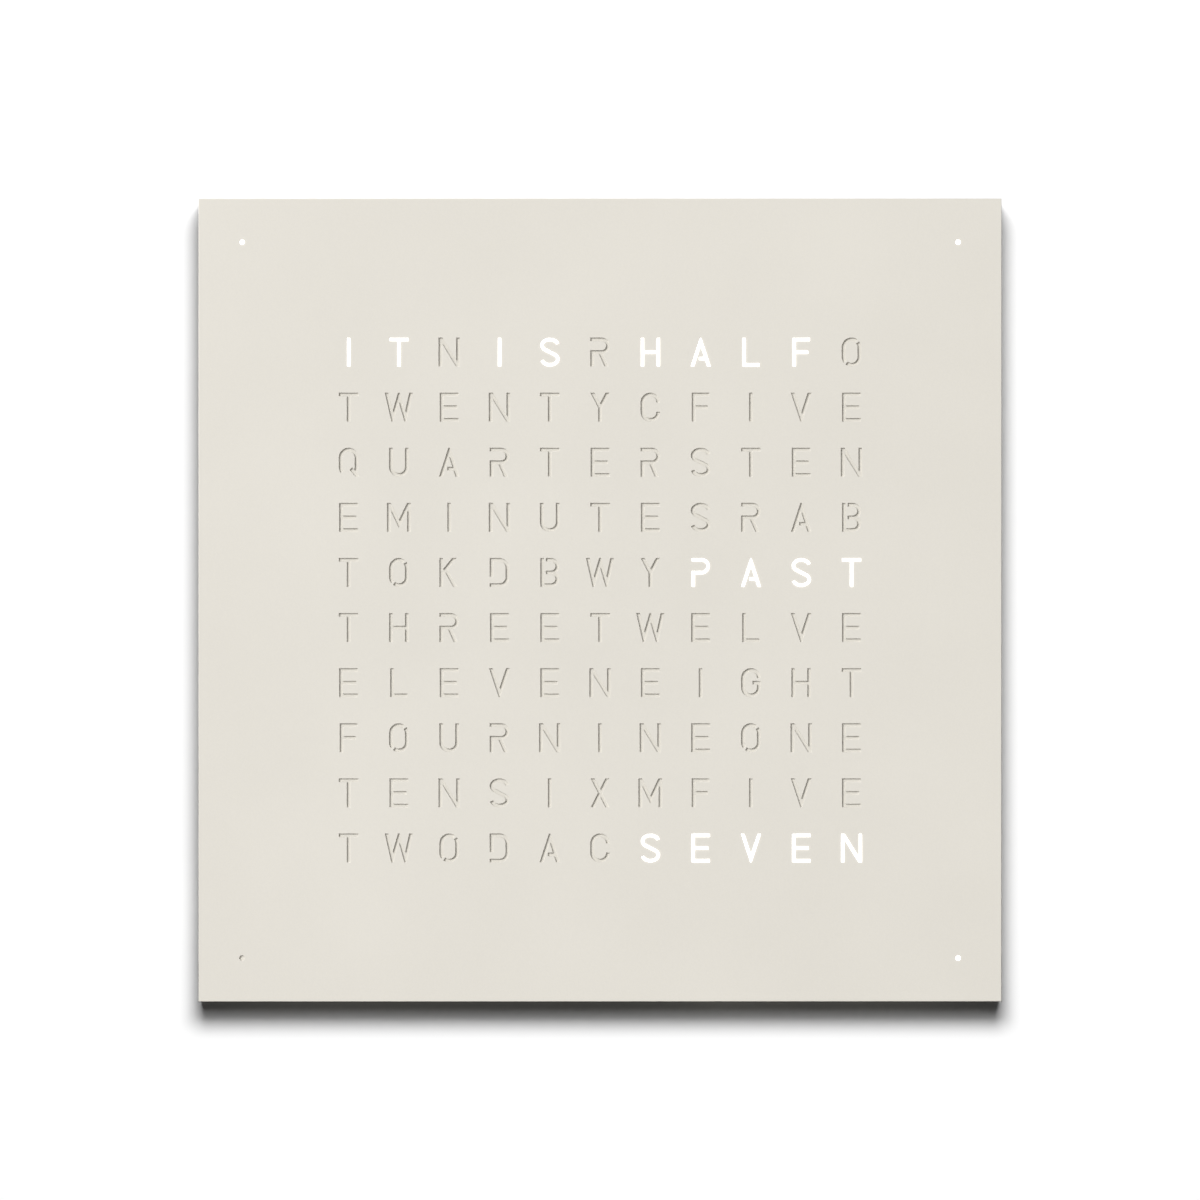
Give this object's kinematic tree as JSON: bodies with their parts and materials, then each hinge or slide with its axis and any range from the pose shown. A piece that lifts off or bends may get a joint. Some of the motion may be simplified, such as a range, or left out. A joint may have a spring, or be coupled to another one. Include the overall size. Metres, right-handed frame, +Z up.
{
  "type": "word clock",
  "caption": "Square wall clock that tells the time in lit words: a letter-cut metal cover on magnets, a light grid and board behind it, and a bracket that it lifts off.",
  "frame": {"origin": "midway between the bracket's two screw holes, on the wall", "axes": "+Z up as the clock hangs, +Y into the wall, +X to the right seen from the front; the face looks along -Y"},
  "size_m": [0.45, 0.0213, 0.45],
  "materials": {
    "cover_paint": "fine-texture cream powder coat on steel",
    "frame_lacquer": "fibreboard with satin cream lacquer",
    "magnet_nickel": "nickel-plated magnet",
    "opal_acrylic": "opal acrylic, light-scattering",
    "grid_plastic": "white moulded plastic",
    "board_laminate": "green solder mask on glass-epoxy laminate",
    "led_package": "white package with yellow phosphor",
    "plated_steel": "zinc-plated steel",
    "lead_vinyl": "vinyl-covered flat lead",
    "panel_paint": "black powder coat on steel",
    "black_screw": "blackened steel",
    "bumper_rubber": "soft rubber",
    "bracket_zinc": "zinc-plated sheet steel",
    "chip_epoxy": "moulded epoxy package",
    "holder_nylon": "moulded nylon",
    "cell_steel": "stainless can",
    "capacitor_resin": "moulded resin block",
    "inlet_plastic": "moulded plastic with metal contacts",
    "connector_nylon": "moulded nylon",
    "ribbon_vinyl": "grey ribbon cable",
    "button_plastic": "cream moulded plastic",
    "plunger_plastic": "moulded plastic",
    "clear_acrylic": "clear acrylic"
  },
  "bodies": {
    "wall_bracket": {"wall_bracket": "bracket_zinc"},
    "clock": {"housing_frame": "frame_lacquer", "cover_magnets": "magnet_nickel", "diffuser_sheet": "opal_acrylic", "light_grid": "grid_plastic", "led_board": "board_laminate", "led_chips": "led_package", "board_standoffs": "plated_steel", "corner_light_cups": "grid_plastic", "corner_led_boards": "board_laminate", "corner_led_chips": "led_package", "corner_standoffs": "plated_steel", "corner_leads": "lead_vinyl", "back_panel": "panel_paint", "back_panel_screws": "black_screw", "wall_bumpers": "bumper_rubber", "control_board": "board_laminate", "control_standoffs": "plated_steel", "control_board_screws": "plated_steel", "microcontroller": "chip_epoxy", "clock_chip": "chip_epoxy", "led_driver_chips": "chip_epoxy", "coin_cell_holder": "holder_nylon", "coin_cell": "cell_steel", "smoothing_capacitors": "capacitor_resin", "power_inlet": "inlet_plastic", "ribbon_connectors": "connector_nylon", "ribbon_cable": "ribbon_vinyl", "button_board": "board_laminate", "button_board_screws": "plated_steel", "switch_bodies": "chip_epoxy", "button_lead": "lead_vinyl", "light_pipe": "clear_acrylic", "sensor_holder": "grid_plastic", "sensor_board": "board_laminate", "light_sensor": "chip_epoxy", "sensor_lead": "lead_vinyl"},
    "cover": {"front_cover": "cover_paint", "cover_tabs": "cover_paint"},
    "lower_button": {"lower_button_cap": "button_plastic", "lower_switch_plunger": "plunger_plastic"},
    "middle_button": {"middle_button_cap": "button_plastic", "middle_switch_plunger": "plunger_plastic"},
    "upper_button": {"upper_button_cap": "button_plastic", "upper_switch_plunger": "plunger_plastic"}
  },
  "joints": [
    {"name": "hang_lift", "type": "slide", "parent": "wall_bracket", "child": "clock", "axis": [0, 0, 1], "range_m": [0, 0.01]},
    {"name": "cover_pull", "type": "slide", "parent": "clock", "child": "cover", "axis": [0, -1, 0], "range_m": [0, 0.05]},
    {"name": "lower_button_press", "type": "slide", "parent": "clock", "child": "lower_button", "axis": [1, 0, 0], "range_m": [0, 0.0005], "stiffness_N_per_m": 800, "springref_m": -0.0005},
    {"name": "middle_button_press", "type": "slide", "parent": "clock", "child": "middle_button", "axis": [1, 0, 0], "range_m": [0, 0.0005], "stiffness_N_per_m": 800, "springref_m": -0.0005},
    {"name": "upper_button_press", "type": "slide", "parent": "clock", "child": "upper_button", "axis": [1, 0, 0], "range_m": [0, 0.0005], "stiffness_N_per_m": 800, "springref_m": -0.0005}
  ]
}
